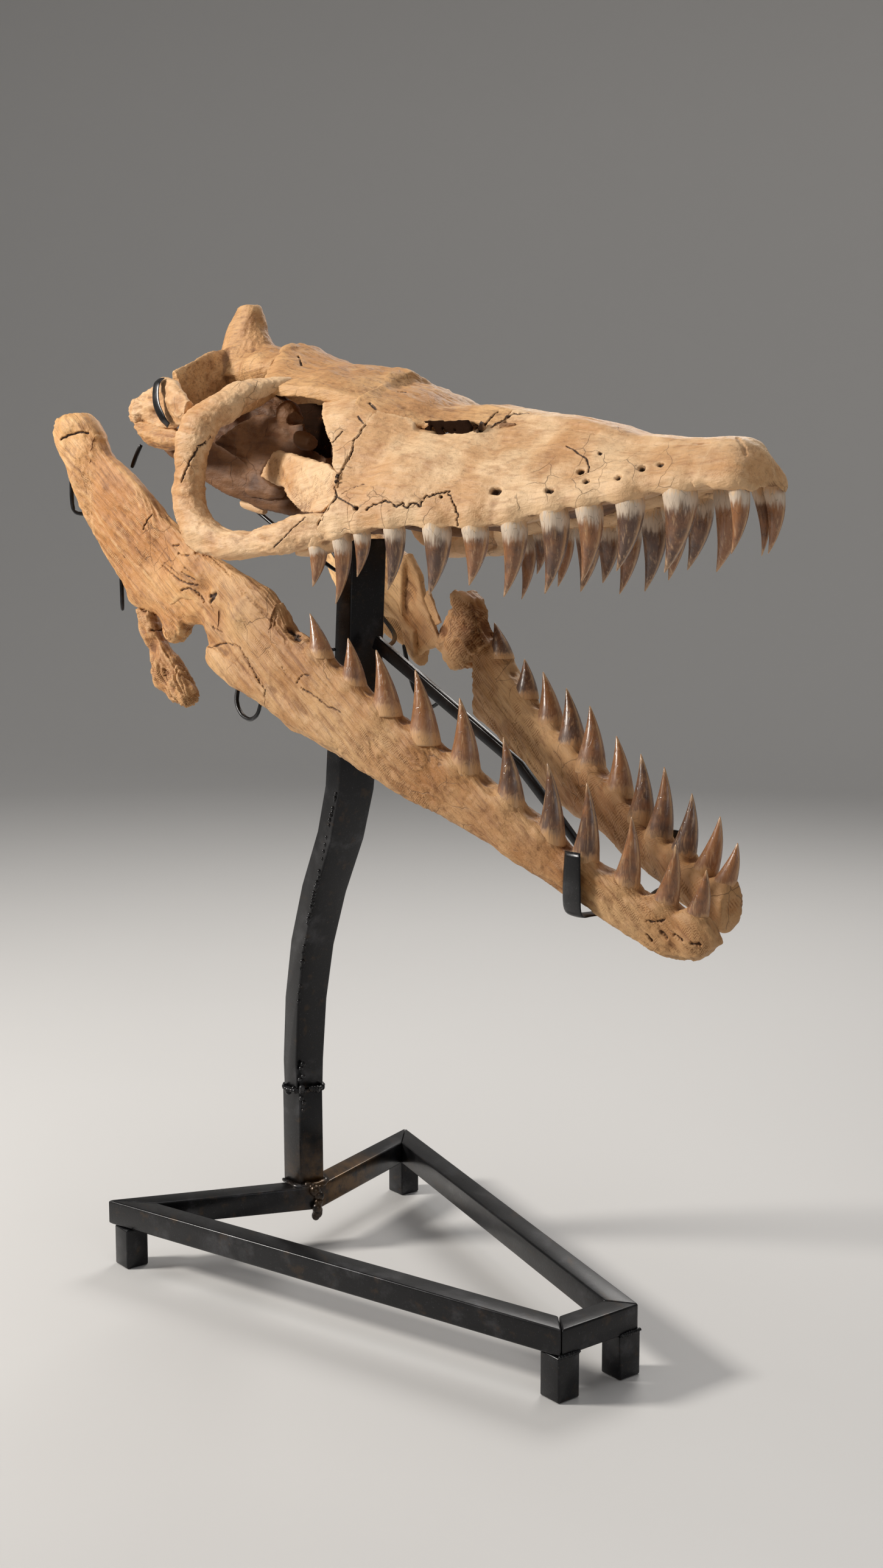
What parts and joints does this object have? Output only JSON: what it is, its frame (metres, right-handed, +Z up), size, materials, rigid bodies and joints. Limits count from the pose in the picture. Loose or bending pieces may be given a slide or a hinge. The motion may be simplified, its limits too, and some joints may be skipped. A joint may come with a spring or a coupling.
{
  "type": "mosasaur skull fossil",
  "caption": "Fossil skull of a mosasaur, jaws agape, each bone a separate piece, carried by a curved post and rods on a low welded steel frame.",
  "frame": {"origin": "centre of the whole mount's box, on the floor", "axes": "+X towards the snout, +Y to the animal's left, +Z up"},
  "size_m": [0.862, 0.3892, 0.9905],
  "materials": {
    "bone_pale": "dry pale tan fossil bone with brown stains and fine cracks",
    "bone_tan": "dry ochre fossil bone, pitted and cracked",
    "jaw_bone": "orange-brown fossil bone with a grain along the jaw",
    "bone_brown": "dark brown rough fossil bone with matrix left on it",
    "tooth": "brown enamel with a pale root band",
    "black_steel": "near-black oiled steel with weld beads"
  },
  "bodies": {
    "root": {"angular_left": "jaw_bone", "angular_right": "jaw_bone", "articular_left": "jaw_bone", "articular_right": "jaw_bone", "braincase": "bone_brown", "coronoid_left": "jaw_bone", "coronoid_right": "jaw_bone", "dentary_left": "jaw_bone", "dentary_right": "jaw_bone", "ectopterygoid_left": "bone_brown", "ectopterygoid_right": "bone_brown", "frontal": "bone_tan", "hyoid_right": "bone_tan", "jugal_left": "bone_pale", "jugal_right": "bone_pale", "maxilla_left": "bone_pale", "maxilla_right": "bone_pale", "palatine_left": "bone_brown", "palatine_right": "bone_brown", "parietal": "bone_tan", "postorbital_left": "bone_tan", "postorbital_right": "bone_tan", "prefrontal_left": "bone_pale", "prefrontal_right": "bone_pale", "premaxilla": "bone_pale", "pterygoid_left": "bone_brown", "pterygoid_right": "bone_brown", "quadrate_left": "bone_tan", "quadrate_right": "bone_tan", "squamosal_left": "bone_pale", "squamosal_right": "bone_pale", "stand_cross": "black_steel", "stand_front_cradle": "black_steel", "stand_hyoid_pin": "black_steel", "stand_jaw_arm_left": "black_steel", "stand_jaw_arm_right": "black_steel", "stand_jaw_bar": "black_steel", "stand_jaw_hook_left": "black_steel", "stand_jaw_hook_right": "black_steel", "stand_joint_hook_left": "black_steel", "stand_joint_hook_right": "black_steel", "stand_leg_front_left": "black_steel", "stand_leg_front_right": "black_steel", "stand_leg_rear_left": "black_steel", "stand_leg_rear_right": "black_steel", "stand_post_bend": "black_steel", "stand_post_foot": "black_steel", "stand_post_head": "black_steel", "stand_quadrate_stay": "black_steel", "stand_rail_left": "black_steel", "stand_rail_right": "black_steel", "stand_skull_arm_left": "black_steel", "stand_skull_arm_right": "black_steel", "stand_strap_left": "black_steel", "stand_strap_right": "black_steel", "stand_wing_left": "black_steel", "stand_wing_right": "black_steel", "surangular_left": "jaw_bone", "surangular_right": "jaw_bone", "vomer": "bone_brown"}
  },
  "joints": []
}
